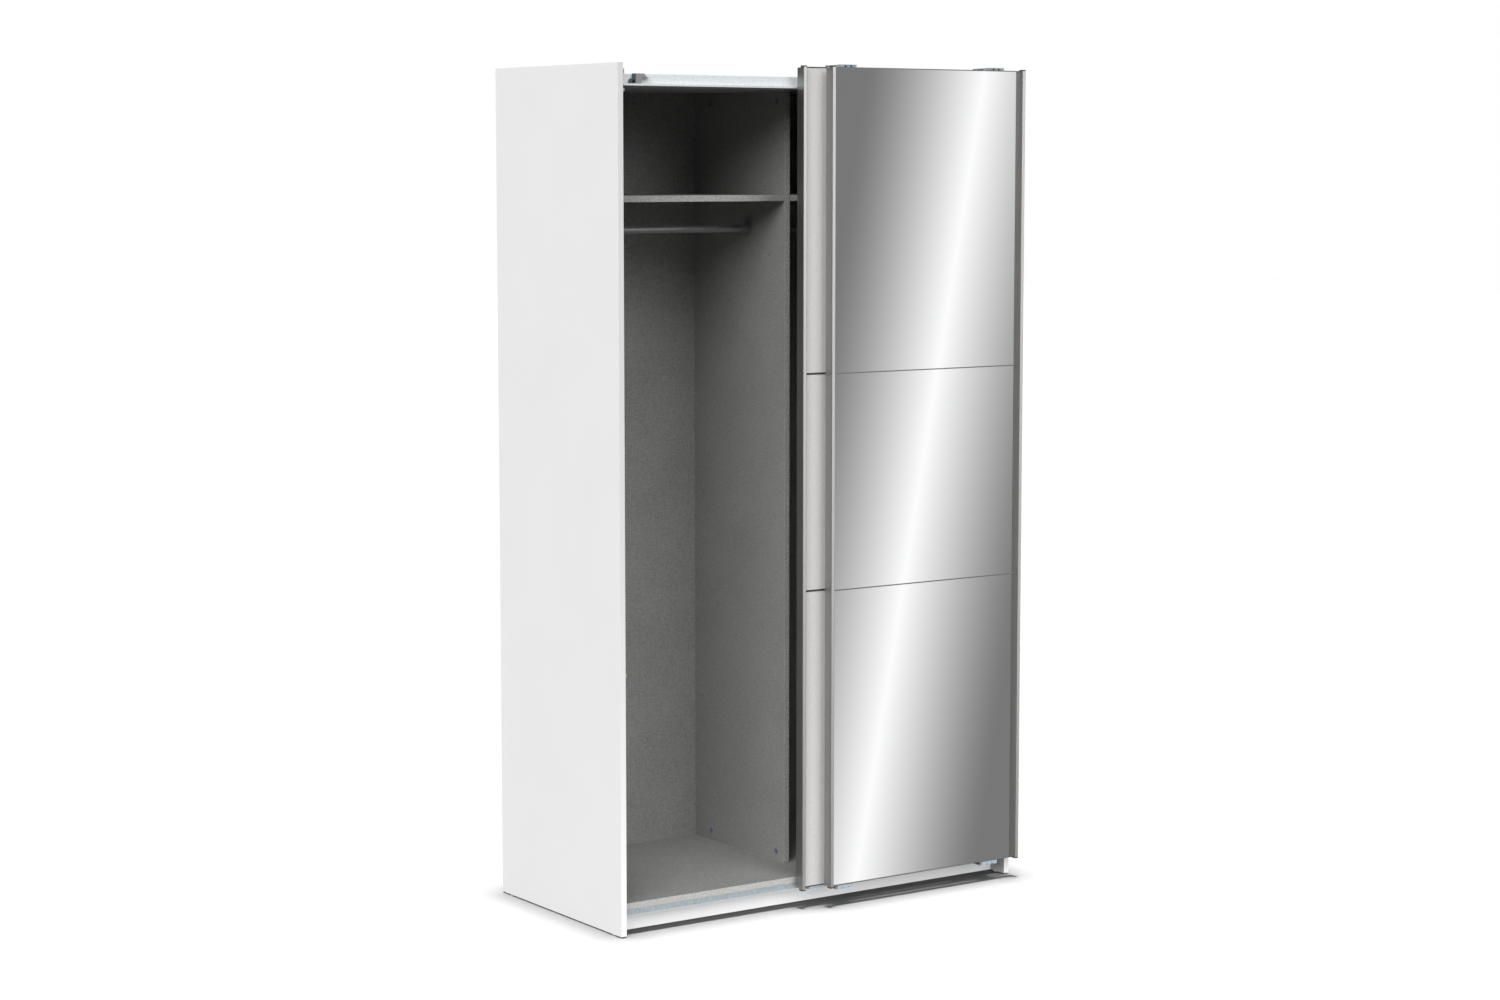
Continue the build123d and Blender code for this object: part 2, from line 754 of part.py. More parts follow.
def stile_caps(left, front, bottom):
    """The four plastic caps that plug the ends of a door's uprights."""
    plug = stile_face / 2 - stile_wall - cap_fit
    with BuildPart() as caps:
        for middle in (left + stile_face / 2, left + door_width - stile_face / 2):
            x = (middle - stile_face / 2, middle + stile_face / 2)
            plug_x = (middle - plug, middle + plug)
            plug_y = (front + stile_wall + cap_fit, front + panel_recess - stile_wall - cap_fit)
            for end, inward in ((bottom, 1), (door_top, -1)):
                seat = end + inward * cap_height
                block(x, (front, front + panel_recess), sorted((end, seat)))
                block(plug_x, plug_y, sorted((seat, seat + inward * cap_plug_length)))
        fillet(caps.edges().filter_by(Axis.Z).group_by(Axis.Y)[0], stile_nose_radius)
    return caps


def cross_strips(left, front, flange_height):
    """The strips between a door's three panels and along its top and bottom edges."""
    x = (left + stile_face, left + door_width - stile_face)
    face = front + panel_recess
    back = face + panel_thickness
    with BuildPart() as strips:
        for z in seams:
            web, flange = strip_web / 2, flange_height / 2
            block(x, (face - strip_flange, back + strip_flange), (z - web, z + web))
            block(x, (face - strip_flange, face), (z - flange, z + flange))
            block(x, (back, back + strip_flange), (z - flange, z + flange))
        for edge, outward in ((panel_bottom, -1), (panel_top, 1)):
            end = edge + outward * edge_strip
            block(x, (face - strip_flange, back), sorted((edge, end)))
            block(x, (face - strip_flange, face), sorted((end - outward * edge_strip_height, end)))
    return strips


panel_spans = {
    "bottom": (panel_bottom, seams[0] - strip_web / 2),
    "middle": (seams[0] + strip_web / 2, seams[1] - strip_web / 2),
    "top": (seams[1] + strip_web / 2, panel_top),
}
outer_face = outer_front + panel_recess
inner_face = inner_front + panel_recess
top_upright = (panel_top - bracket_upright, panel_top - tray_gap)
bottom_upright = (panel_bottom + tray_gap, panel_bottom + bracket_upright)


def bracket_screws(left, face):
    """Where a door's bracket screws go: three to an upright, two low and one high."""
    y = face + panel_thickness + bracket_plate
    half = bracket_screw_pitch / 2
    heads = []
    for start in bracket_starts:
        x = left + start + bracket_width / 2
        for low, high in (top_upright, bottom_upright):
            z = (low + high) / 2
            heads += [((x + dx, y, z + dz), (0, -1, 0))
                      for dx, dz in ((-half, -half), (half, -half), (0, half / 2))]
    return heads


outer_screws = bracket_screws(outer_left, outer_face)
inner_screws = bracket_screws(inner_left, inner_face)
outer_x = (outer_left + stile_wall, outer_left + door_width - stile_wall)
inner_x = (inner_left + stile_wall, inner_left + door_width - stile_wall)

for position, span in panel_spans.items():
    with BuildPart() as mirror_pane:
        block(outer_x, (outer_face, outer_face + mirror_thickness), span)
    keep("outer_mirror_" + position, mirror_pane)

    with BuildPart() as plain_board:
        block(inner_x, (inner_face, inner_face + panel_thickness), span)
        screw_holes(inner_screws, bracket_screw_length, False)
    keep("inner_panel_" + position, plain_board)

with BuildPart() as outer_backing_boards:
    for span in panel_spans.values():
        block(outer_x, (outer_face + mirror_thickness, outer_face + panel_thickness), span)
    screw_holes(outer_screws, bracket_screw_length, False)
keep("outer_backing_boards", outer_backing_boards)

for door, left, front, bottom, flange_height in (
    ("outer", outer_left, outer_front, outer_door_bottom, outer_strip_height),
    ("inner", inner_left, inner_front, inner_door_bottom, inner_strip_height),
):
    keep(door + "_stile_left", door_stile(left, front, bottom, -1))
    keep(door + "_stile_right", door_stile(left, front, bottom, 1))
    keep(door + "_stile_caps", stile_caps(left, front, bottom))
    keep(door + "_cross_strips", cross_strips(left, front, flange_height))

# ---------------------------------------------------------------- door brackets

# Every bracket is pressed from one plate: an upright screwed to the back of the door's panel,
# and on most of them an arm that reaches back to the lane and a notched tray beside the panel.


def notched_tray(x, face, low, high):
    """The front plate with its two notches, and the cheeks that tie it to the upright."""
    plate = (face + tray_gap, face + tray_gap + bracket_plate)
    block(x, plate, (low, high))
    for cheek in ((x[0], x[0] + bracket_plate), (x[1] - bracket_plate, x[1])):
        block(cheek, (plate[0], face + panel_thickness), (low, high))
    crown = low + notch_depth - notch_radius
    for middle in ((x[0] + x[1] - notch_spacing) / 2, (x[0] + x[1] + notch_spacing) / 2):
        rods([((middle, plate[0], crown), (0, 1, 0))], notch_radius, bracket_plate, Mode.SUBTRACT)
        block((middle - notch_radius, middle + notch_radius), plate, (low, crown), Mode.SUBTRACT)


outer_axles = [
    ((outer_left + offset, outer_axle_end, outer_wheel_height), (0, 1, 0))
    for offset in (left_wheel, right_wheel)
]
inner_axles = [
    ((inner_left + offset, inner_face + panel_thickness, inner_wheel_height), (0, 1, 0))
    for offset in (left_wheel, right_wheel)
]
pin_bore = axle_radius + axle_fit

with BuildPart() as outer_top_brackets:
    back = outer_face + panel_thickness
    flange = (outer_axle_end, outer_axle_end + bracket_plate)
    for start in bracket_starts:
        x = (outer_left + start, outer_left + start + bracket_width)
        arm_x = (x[0] + arm_inset, x[1])
        block(x, (back, back + bracket_plate), (top_upright[0], arm_top))
        block(x, (outer_face + tray_gap, back + bracket_plate), (arm_bottom, arm_top))
        block(arm_x, (back, flange[1]), (arm_bottom, arm_top))
        block(arm_x, flange, (outer_wheel_height - flange_reach, arm_top))
        notched_tray(x, outer_face, panel_top + edge_strip + strip_gap, arm_top)
    rods(outer_axles, pin_bore, bracket_plate, Mode.SUBTRACT)
    screw_holes(outer_screws, bracket_screw_length)
keep("outer_top_brackets", outer_top_brackets)

with BuildPart() as inner_top_brackets:
    back = inner_face + panel_thickness
    for start in bracket_starts:
        x = (inner_left + start, inner_left + start + bracket_width)
        block(x, (back, back + bracket_plate), top_upright)
    rods(inner_axles, pin_bore, bracket_plate, Mode.SUBTRACT)
    screw_holes(inner_screws, bracket_screw_length)
keep("inner_top_brackets", inner_top_brackets)

guide_top = plinth_top - track_sheet - guide_clear
for door, left, face, arm_high, guide_y, heads in (
    ("outer", outer_left, outer_face, outer_arm_top, outer_guide_y, outer_screws),
    ("inner", inner_left, inner_face, inner_arm_top, inner_guide_y, inner_screws),
):
    back = face + panel_thickness
    arm = (arm_high - bracket_plate, arm_high)
    tray_top = panel_bottom - edge_strip
    rivets = [((left + offset, guide_y, arm[0]), (0, 0, 1)) for offset in (left_wheel, right_wheel)]

    with BuildPart() as bottom_brackets:
        for start in bracket_starts:
            x = (left + start, left + start + bracket_width)
            block(x, (back, back + bracket_plate), (arm[0], bottom_upright[1]))
            block(x, (back, guide_y + guide_radius + tray_gap), arm)
            block(x, (face + tray_gap, back), (tray_top - bracket_plate, tray_top))
            notched_tray(x, face, arm_high, tray_top)
        rods(rivets, pin_bore, bracket_plate, Mode.SUBTRACT)
        screw_holes(heads, bracket_screw_length)
    keep(door + "_bottom_brackets", bottom_brackets)

    with BuildPart() as bracket_screw_set:
        screws(heads, bracket_screw)
    keep(door + "_bracket_screws", bracket_screw_set)

    with BuildPart() as guides:
        rods(shifted(rivets, bracket_plate), guide_radius, guide_top - arm_high)
        fillet(guides.edges().group_by(Axis.Z)[-1], guide_radius / 5)
        rods(shifted(rivets, bracket_plate), pin_bore, guide_top - arm_high, Mode.SUBTRACT)
    keep(door + "_guides", guides)

    # One node holds a door's wheel axles and the rivets of its guides.
    with BuildPart() as pins:
        rods(rivets, axle_radius, guide_top - arm[0])
        if door == "outer":
            reach = outer_axle_end - hat_centre + wheel_width / 2 + axle_end_gap
            rods(shifted(outer_axles, -reach), axle_radius, reach + bracket_plate)
            rods(shifted(outer_axles, -reach - axle_head), axle_head_radius, axle_head)
            rods(shifted(outer_axles, -axle_head), axle_collar_radius, axle_head)
            rods(shifted(outer_axles, bracket_plate), axle_head_radius, axle_head)
        else:
            wheel_front = inner_lane_centre - wheel_width / 2 - back
            wheel_back = inner_lane_centre + wheel_width / 2 - back
            collar = wheel_front - axle_end_gap - bracket_plate
            rods(inner_axles, axle_radius, wheel_back + axle_end_gap)
            rods(shifted(inner_axles, bracket_plate), axle_collar_radius, collar)
            rods(shifted(inner_axles, wheel_back + axle_end_gap), axle_head_radius, axle_head)
    keep(door + "_pins", pins)

# ---------------------------------------------------------------- running wheels


def running_wheel(centre, radius, groove):
    """A nylon wheel, dished on both sides, with a groove round it if it runs on the bead."""
    x, y, z = centre
    bore = axle_radius + axle_fit
    hub, rim = bore + wheel_hub_wall, radius - wheel_rim_wall
    with BuildPart() as wheel:
        with BuildSketch(Plane.YZ.offset(x)) as half_section:
            with Locations((y, z + (bore + radius) / 2)):
                Rectangle(wheel_width, radius - bore)
            fillet(half_section.vertices().group_by(Axis.Z)[-1], wheel_rim_wall / 3)
            dish = wheel_width / 2 - wheel_dish / 2
            with Locations((y - dish, z + (hub + rim) / 2), (y + dish, z + (hub + rim) / 2)):
                Rectangle(wheel_dish, rim - hub, mode=Mode.SUBTRACT)
            if groove:
                with Locations((y, z + radius)):
                    Circle(groove, mode=Mode.SUBTRACT)
        revolve(axis=Axis((x, y, z), (0, 1, 0)))
    return wheel


for side, offset in (("left", left_wheel), ("right", right_wheel)):
    outer_centre = (outer_left + offset, hat_centre, outer_wheel_height)
    keep("outer_wheel_" + side, running_wheel(outer_centre, outer_wheel_radius, groove_radius))
    inner_centre = (inner_left + offset, inner_lane_centre, inner_wheel_height)
    keep("inner_wheel_" + side, running_wheel(inner_centre, inner_wheel_radius, 0))

# ---------------------------------------------------------------- writing the pieces

os.makedirs("parts", exist_ok=True)
for name, piece in pieces.items():
    piece.part.label = name
    export_step(piece.part, f"parts/{name}.step")
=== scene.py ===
import json
import math

import bmesh
import bpy
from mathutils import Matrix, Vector

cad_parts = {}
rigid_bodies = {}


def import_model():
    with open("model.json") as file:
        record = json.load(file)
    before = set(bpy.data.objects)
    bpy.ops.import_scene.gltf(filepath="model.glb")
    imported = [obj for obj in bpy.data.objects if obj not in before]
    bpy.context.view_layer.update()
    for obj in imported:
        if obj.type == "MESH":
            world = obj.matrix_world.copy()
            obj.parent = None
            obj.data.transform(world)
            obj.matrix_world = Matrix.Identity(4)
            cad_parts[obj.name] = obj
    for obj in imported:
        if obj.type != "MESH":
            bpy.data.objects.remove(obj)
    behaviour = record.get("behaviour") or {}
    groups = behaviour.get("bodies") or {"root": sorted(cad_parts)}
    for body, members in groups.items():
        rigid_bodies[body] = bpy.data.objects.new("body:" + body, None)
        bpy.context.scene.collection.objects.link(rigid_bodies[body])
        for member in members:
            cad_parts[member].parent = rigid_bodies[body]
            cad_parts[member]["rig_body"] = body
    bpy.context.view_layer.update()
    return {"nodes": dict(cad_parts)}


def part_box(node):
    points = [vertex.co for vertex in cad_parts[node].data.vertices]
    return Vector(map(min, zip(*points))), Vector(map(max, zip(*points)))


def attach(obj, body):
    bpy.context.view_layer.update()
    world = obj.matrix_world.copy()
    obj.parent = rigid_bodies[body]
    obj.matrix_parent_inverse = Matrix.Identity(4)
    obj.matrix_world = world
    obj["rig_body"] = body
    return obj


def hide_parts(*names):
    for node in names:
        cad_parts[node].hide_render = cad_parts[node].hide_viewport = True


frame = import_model()
nodes = frame["nodes"]

# ------------------------------------------------------------------ the studio
# A long lens at eye height looks a little down on the wardrobe from its front left. Soft lamps
# stand far off all round, two of them below the floor, which stops no light. Some lamps shine on
# a few pieces alone. The floor looks plain white and keeps a soft shadow under the doors.

bpy.context.scene.view_settings.view_transform = "Standard"

lens = bpy.data.cameras.new("studio_camera")
lens.sensor_width = 36.0
lens.lens = 72.958
lens.clip_end = 100.0
camera = bpy.data.objects.new("studio_camera", lens)
camera.location = (-4.2714, -6.1605, 1.7948)
heading, dip = math.radians(55.52), math.radians(6.26)
ahead = Vector((math.cos(heading) * math.cos(dip), math.sin(heading) * math.cos(dip), -math.sin(dip)))
camera.rotation_euler = ahead.to_track_quat("-Z", "Y").to_euler()
bpy.context.scene.collection.objects.link(camera)
bpy.context.scene.camera = camera


def tone(red, green, blue):
    """A colour from its everyday 0 to 255 values."""
    parts = [value / 255 for value in (red, green, blue)]
    return tuple(c / 12.92 if c <= 0.04045 else ((c + 0.055) / 1.055) ** 2.4 for c in parts) + (1.0,)


class Wire:
    """A socket that sums can be done on: each operator adds its Math node."""

    def __init__(self, tree, socket):
        self.tree, self.socket = tree, socket

    def maths(self, operation, *values):
        return self.tree.node("ShaderNodeMath", {"operation": operation}, dict(enumerate(values)))

    def __add__(self, other):
        return self.maths("ADD", self, other)

    def __radd__(self, other):
        return self.maths("ADD", other, self)

    def __sub__(self, other):
        return self.maths("SUBTRACT", self, other)

    def __rsub__(self, other):
        return self.maths("SUBTRACT", other, self)

    def __mul__(self, other):
        return self.maths("MULTIPLY", self, other)

    def __rmul__(self, other):
        return self.maths("MULTIPLY", other, self)

    def __truediv__(self, other):
        return self.maths("DIVIDE", self, other)

    def __pow__(self, other):
        return self.maths("POWER", self, other)

    def __abs__(self):
        return self.maths("ABSOLUTE", self)

    def __gt__(self, other):
        return self.maths("GREATER_THAN", self, other)

    def __lt__(self, other):
        return self.maths("LESS_THAN", self, other)

    def held(self, low=0.0, high=1.0):
        """The value, kept between two limits."""
        return self.maths("MINIMUM", self.maths("MAXIMUM", self, low), high)

    def swing(self, times):
        """How far the value is from one half, made so many times larger."""
        return (self - 0.5) * times

    def above(self, level, steepness):
        """0 up to a level, and from there a climb to 1."""
        return ((self - level) * steepness).held()

    def to_fold(self, spacing):
        """How far a value is from the nearest whole number of spacings."""
        return self.maths("PINGPONG", self, spacing / 2)


class Tree:
    """A node tree that is filled node by node."""

    def __init__(self, tree):
        self.tree = tree
        self.tree.nodes.clear()

    def node(self, kind, settings=None, sockets=None, out=0):
        """Any node: its settings first, then what its sockets take."""
        made = self.tree.nodes.new(kind)
        for name, value in (settings or {}).items():
            setattr(made, name, value)
        for name, value in (sockets or {}).items():
            for part in value if isinstance(value, list) else [value]:
                if isinstance(part, Wire):
                    self.tree.links.new(part.socket, made.inputs[name])
                else:
                    made.inputs[name].default_value = part
        return Wire(self, made.outputs[out]) if made.outputs else None


class Finish(Tree):
    """A material, or the room's light, put together from nodes."""

    def __init__(self, name, owner=None):
        self.owner = owner or bpy.data.materials.new(name)
        self.owner.use_nodes = True
        super().__init__(self.owner.node_tree)

    def place(self):
        """Where a point is on its piece, in metres."""
        return self.node("ShaderNodeTexCoord", out="Object")

    def axes(self, vector):
        """The three parts of a place or a direction."""
        return [self.node("ShaderNodeSeparateXYZ", None, {0: vector}, out) for out in range(3)]

    def dot(self, vector, fixed):
        """How far a direction leans towards a fixed one."""
        lean = {"operation": "DOT_PRODUCT"}
        return self.node("ShaderNodeVectorMath", lean, {0: vector, 1: fixed}, "Value")

    def grain(self, place, steps, detail=2.0):
        """Noise with its own number of grains to the metre along each axis."""
        scaled = self.node("ShaderNodeVectorMath", {"operation": "MULTIPLY"}, {0: place, 1: steps})
        settings = {"Vector": scaled, "Scale": 1.0, "Detail": detail, "Roughness": 0.55}
        return self.node("ShaderNodeTexNoise", None, settings)

    def mix(self, factor, first, second):
        """One colour turning into another."""
        return self.node("ShaderNodeMix", {"data_type": "RGBA"}, {0: factor, 6: first, 7: second}, 2)

    def bump(self, height, depth, strength=0.6):
        """A surface normal from a height of 0 to 1 that stands for so many metres."""
        relief = {"Height": height, "Strength": strength, "Distance": depth}
        return self.node("ShaderNodeBump", None, relief)

    def done(self, **sockets):
        """Closes the material with the surface that these sockets describe."""
        named = {name.replace("_", " "): value for name, value in sockets.items()}
        shader = self.node("ShaderNodeBsdfPrincipled", None, named)
        self.node("ShaderNodeOutputMaterial", None, {"Surface": shader})
        return self.owner


def grey(level):
    """A plain grey, by the share of the light that it throws back or sends out."""
    return (level, level, level, 1.0)


# Polished faces see a grey room that grows darker away from its front right, with slanting strips
# of light. Each strip is brightest along its middle and fades to the room's grey.
strip_turn, strip_dip = math.radians(38.6), math.radians(8.7)
strip_spacing, strip_reach, strip_fade = 0.3, 0.038, 1.5
front_right = Vector((0.566, -0.824, 0.0))
room_middle, room_slope, room_darkest = 0.42, 0.62, 0.12
room = Finish("studio_room", bpy.data.worlds.new("studio_room"))
bpy.context.scene.world = room.owner
facing = room.node("ShaderNodeTexCoord", out="Generated")
across = Vector((math.cos(strip_turn) * math.cos(strip_dip), math.sin(strip_turn) * math.cos(strip_dip),
                 -math.sin(strip_dip)))
from_middle = (room.dot(facing, across).to_fold(strip_spacing) / strip_reach).held()
strips = room.mix((1.0 - from_middle) ** strip_fade, tone(120, 120, 120), tone(254, 254, 254))
brightness = (room.dot(facing, front_right) * room_slope + room_middle).held(room_darkest, 1.0)
dimmed = room.mix(brightness, grey(0.0), strips)
seen = room.node("ShaderNodeLightPath", out="Is Camera Ray")
mirrored = room.node("ShaderNodeLightPath", out="Is Glossy Ray")
light = room.mix(seen, room.mix(mirrored, grey(0.0), dimmed), grey(1.0))
background = room.node("ShaderNodeBackground", None, {0: light})
room.node("ShaderNodeOutputWorld", None, {"Surface": background})


def hang(name, kind, strength, shining, in_polish=True, only_on=None):
    """A lamp that shines one way, on everything or on a few pieces alone."""
    lamp = bpy.data.lights.new(name, kind)
    lamp.energy = strength
    stand = bpy.data.objects.new(name, lamp)
    stand.rotation_euler = shining.to_track_quat("-Z", "Y").to_euler()
    stand.visible_glossy = in_polish
    if only_on:
        lit = bpy.data.collections.new(name + "_shines_on")
        for piece in only_on:
            lit.objects.link(piece)
        stand.light_linking.receiver_collection = lit
    bpy.context.scene.collection.objects.link(stand)
    return stand


# Each soft lamp: degrees round to the right of straight in front, degrees up, strength, and
# whether polished faces see it.
for name, around, up, strength, in_polish in (
    ("key_left", -55, 32, 1.5, True),
    ("high_front", -20, 50, 0.6, True),
    ("low_front", 10, 25, 1.0, True),
    ("left_side", -120, 5, 1.9, False),
    ("right_side", 80, 5, 0.5, False),
    ("far_side_fill", 105, -8, 2.0, False),
    ("back_fill", 165, -8, 2.0, False),
):
    turn, rise = math.radians(around), math.radians(up)
    shining = Vector((-math.sin(turn) * math.cos(rise), math.cos(turn) * math.cos(rise),
                      -math.sin(rise)))
    hang(name, "SUN", strength, shining, in_polish).data.angle = math.radians(40)

# Two long low panels in front brighten the base: a weak one shines on everything, and the other
# on the base's own pieces and those that stand or hang beside it.
by_the_base = [nodes[name] for name in (
    "front_plinth", "guide_rail", "bottom_panel", "side_panel_left", "side_panel_right",
    "outer_bottom_brackets", "inner_bottom_brackets")]
for name, strength, only_on in (("low_panel", 0.8, None), ("base_panel", 4.2, by_the_base)):
    panel = hang(name, "AREA", strength, Vector((0.0, 0.7, 0.2)), False, only_on)
    panel.location = (-0.05, -0.9, -0.17)
    panel.data.shape = "RECTANGLE"
    panel.data.size, panel.data.size_y = 1.6, 0.24

# The floor's paint is a dull grey, and darker still for the light that bounces off it. A strong
# lamp of its own makes it look white.
paint_dark, paint_light, paint_in_bounces = grey(0.125), grey(0.127), grey(0.0125)
floor_half = 30.0
white_floor = Finish("white_floor")
bounced = white_floor.node("ShaderNodeLightPath", out="Is Diffuse Ray")
speck = white_floor.grain(white_floor.place(), (40.0, 40.0, 40.0))
as_seen = white_floor.mix(speck, paint_dark, paint_light)
white_floor.done(
    Base_Color=white_floor.mix(bounced, as_seen, paint_in_bounces),
    Roughness=1.0,
    Specular_IOR_Level=0.0,
)
floor_mesh = bpy.data.meshes.new("studio_floor")
corners = [(floor_half * x, floor_half * y, 0.0) for x, y in ((-1, -1), (1, -1), (1, 1), (-1, 1))]
floor_mesh.from_pydata(corners, [], [(0, 1, 2, 3)])
floor_mesh.materials.append(white_floor.owner)
studio_floor = bpy.data.objects.new("studio_floor", floor_mesh)
bpy.context.scene.collection.objects.link(studio_floor)
studio_floor.visible_glossy = False
studio_floor.visible_shadow = False

# Its lamp stands straight above it, so the shadow lies right under the doors.
floor_lamp = hang("floor_lamp", "SUN", 24.0, Vector((0.0, 0.0, -1.0)), False, [studio_floor])
floor_lamp.data.angle = math.radians(5)

# ------------------------------------------------------------------ side panels
# Full-height chipboard faced with smooth white melamine outside and with a grey linen decor
# inside, and edged in white along the front and the top. Bores for pins and dowels show raw board.

side_low, side_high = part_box("side_panel_right")
hair, skin = 0.0002, 0.0004


def dress(finish, *names):
    """Gives CAD nodes their material."""
    for name in names:
        nodes[name].data.materials.clear()
        nodes[name].data.materials.append(finish)


def linen(finish, place):
    """The decor's colour and relief: crossed threads, small nubs and a slow change of shade."""
    threads = (
        finish.grain(place, (800.0, 800.0, 40.0))
        + finish.grain(place, (800.0, 40.0, 800.0))
        + finish.grain(place, (40.0, 800.0, 800.0))
    ) / 3.0
    nubs = finish.grain(place, (380.0, 380.0, 380.0), 3.0)
    cloud = finish.grain(place, (6.0, 6.0, 6.0), 1.0)
    shade = (threads.swing(3.0) + nubs.swing(2.4) + cloud.swing(0.4) + 0.5).held()
    return finish.mix(shade, tone(148, 148, 147), tone(188, 188, 187)), threads


def chipboard(finish, place):
    """Raw pressed chips, each with a tint of its own, for where a bore cuts into a board."""
    tints = finish.node("ShaderNodeTexVoronoi", None, {"Vector": place, "Scale": 900.0}, 1)
    share_of_brown = 0.6
    return finish.mix(share_of_brown, tints, tone(150, 122, 88))


melamine = Finish("white_melamine")
place = melamine.place()
x, y, z = melamine.axes(place)
decor, threads = linen(melamine, place)
orange_peel = melamine.grain(place, (450.0, 450.0, 450.0), 1.0)
on_inner_face = abs(x) < side_low.x + hair
in_board = (abs(x) < side_high.x - skin) * (y > side_low.y + skin) * (z < side_high.z - skin)
slow_change = melamine.grain(place, (5.0, 5.0, 5.0), 1.0)
facing_white = melamine.mix(slow_change, tone(240, 240, 240), tone(244, 244, 244))
with_edging = melamine.mix(y < side_low.y + skin, facing_white, tone(251, 251, 251))
bored = melamine.mix(in_board, with_edging, chipboard(melamine, place))
dress(melamine.done(
    Base_Color=melamine.mix(on_inner_face, bored, decor),
    Roughness=0.42 + 0.12 * orange_peel,
    Specular_IOR_Level=0.15,
    Normal=melamine.bump(orange_peel + threads * on_inner_face, 0.00006),
), "side_panel_left", "side_panel_right")

# ------------------------------------------------------------------ inner boards
# The top, bottom, divider, shelves and the hidden boards of the base are chipboard in the same
# linen decor on every face. Their front edging is a little paler and more speckled.

decor_board = Finish("linen_decor_board")
place = decor_board.place()
normal_y = decor_board.axes(decor_board.node("ShaderNodeNewGeometry", out="Normal"))[1]
decor, threads = linen(decor_board, place)
dots = decor_board.grain(place, (330.0, 330.0, 330.0), 3.0)
speckled = decor_board.mix(dots.above(0.4, 4.0), tone(172, 171, 168), tone(204, 203, 200))
faces_the_front = normal_y < -0.7
dress(decor_board.done(
    Base_Color=decor_board.mix(faces_the_front, decor, speckled),
    Roughness=0.5 + 0.15 * threads,
    Specular_IOR_Level=0.1,
    Normal=decor_board.bump(threads, 0.00008),
), "top_panel", "divider", "shelf_left", "shelf_right", "bottom_panel", "rear_plinth",
    "plinth_cross_rail")

# ------------------------------------------------------------------ front plinth
# A white melamine board that stands between the side panels, set back under the front of the
# bottom panel. Its white is painted a little brighter than theirs, as painted light for this board
# in the shade under the bottom panel.

plinth_white = Finish("plinth_white")
place = plinth_white.place()
peel = plinth_white.grain(place, (450.0, 450.0, 450.0), 1.0)
scuffs = plinth_white.grain(place, (8.0, 8.0, 60.0), 3.0)
dress(plinth_white.done(
    # Painted light: both whites are brighter than the side panels' white.
    Base_Color=plinth_white.mix(scuffs, tone(247, 247, 247), tone(253, 253, 253)),
    Roughness=0.42 + 0.12 * peel,
    Specular_IOR_Level=0.15,
    Normal=plinth_white.bump(peel, 0.00006),
), "front_plinth")

# ------------------------------------------------------------------ back sheets
# Two thin hardboard sheets nailed on from behind. Their front carries the printed decor, and
# their back is bare brown fibre.

hardboard = Finish("printed_hardboard")
place = hardboard.place()
decor, threads = linen(hardboard, place)
fibres = hardboard.grain(place, (220.0, 220.0, 90.0), 5.0)
bare = hardboard.mix(fibres, tone(128, 98, 70), tone(172, 138, 102))
printed_skin = 0.0003
behind = hardboard.axes(place)[1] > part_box("back_sheet_left")[0].y + printed_skin
dress(hardboard.done(
    Base_Color=hardboard.mix(behind, decor, bare),
    Roughness=0.55 + 0.25 * behind,
    Specular_IOR_Level=0.1,
    Normal=hardboard.bump(threads + fibres * behind, 0.0001),
), "back_sheet_left", "back_sheet_right")

# ------------------------------------------------------------------ nails
# Small domed steel nails, hammered in at slightly uneven angles round the edges of the back
# sheets and along the divider.


def zinc_plate(name, low, high, metallic=0.8):
    """A thin zinc plating over steel, a little cloudy from handling."""
    finish = Finish(name)
    place = finish.place()
    cloud = finish.grain(place, (260.0, 260.0, 260.0), 4.0)
    return finish.done(
        Base_Color=finish.mix(cloud, tone(*low), tone(*high)),
        Metallic=metallic,
        Roughness=0.3 + 0.25 * cloud,
        Normal=finish.bump(cloud, 0.00005),
    )


def solids_of(name):
    """The separate solids of a CAD node, in no fixed order, each as the places of its corners."""
    shape = bmesh.new()
    shape.from_mesh(nodes[name].data)
    bmesh.ops.remove_doubles(shape, verts=shape.verts, dist=1e-6)
    waiting, solids = set(shape.verts), []
    while waiting:
        edge_of_search, solid = [waiting.pop()], []
        while edge_of_search:
            corner = edge_of_search.pop()
            solid.append(corner.co.copy())
            found = {edge.other_vert(corner) for edge in corner.link_edges} & waiting
            waiting -= found
            edge_of_search += found
        solids.append(solid)
    shape.free()
    return solids


def heads_of(name, along=None):
    """For each fastener in a node: where its head ends, and which way its head looks."""
    start_of_end = 0.9
    heads = []
    for solid in solids_of(name):
        low = Vector([min(corner[k] for corner in solid) for k in range(3)])
        high = Vector([max(corner[k] for corner in solid) for k in range(3)])
        middle, size = (low + high) / 2, high - low
        axis = along(middle, size) if along else Vector([float(v == max(size)) for v in size])
        half = abs(size.dot(axis)) / 2

        def breadth(side):
            """How wide the fastener is near one of its ends."""
            near_end = [c - middle for c in solid if (c - middle).dot(axis) * side > start_of_end * half]
            return max((corner - axis * corner.dot(axis)).length for corner in near_end)

        if not along and breadth(-1) > breadth(1):
            axis = -axis
        heads.append((middle + axis * half, axis))
    return heads


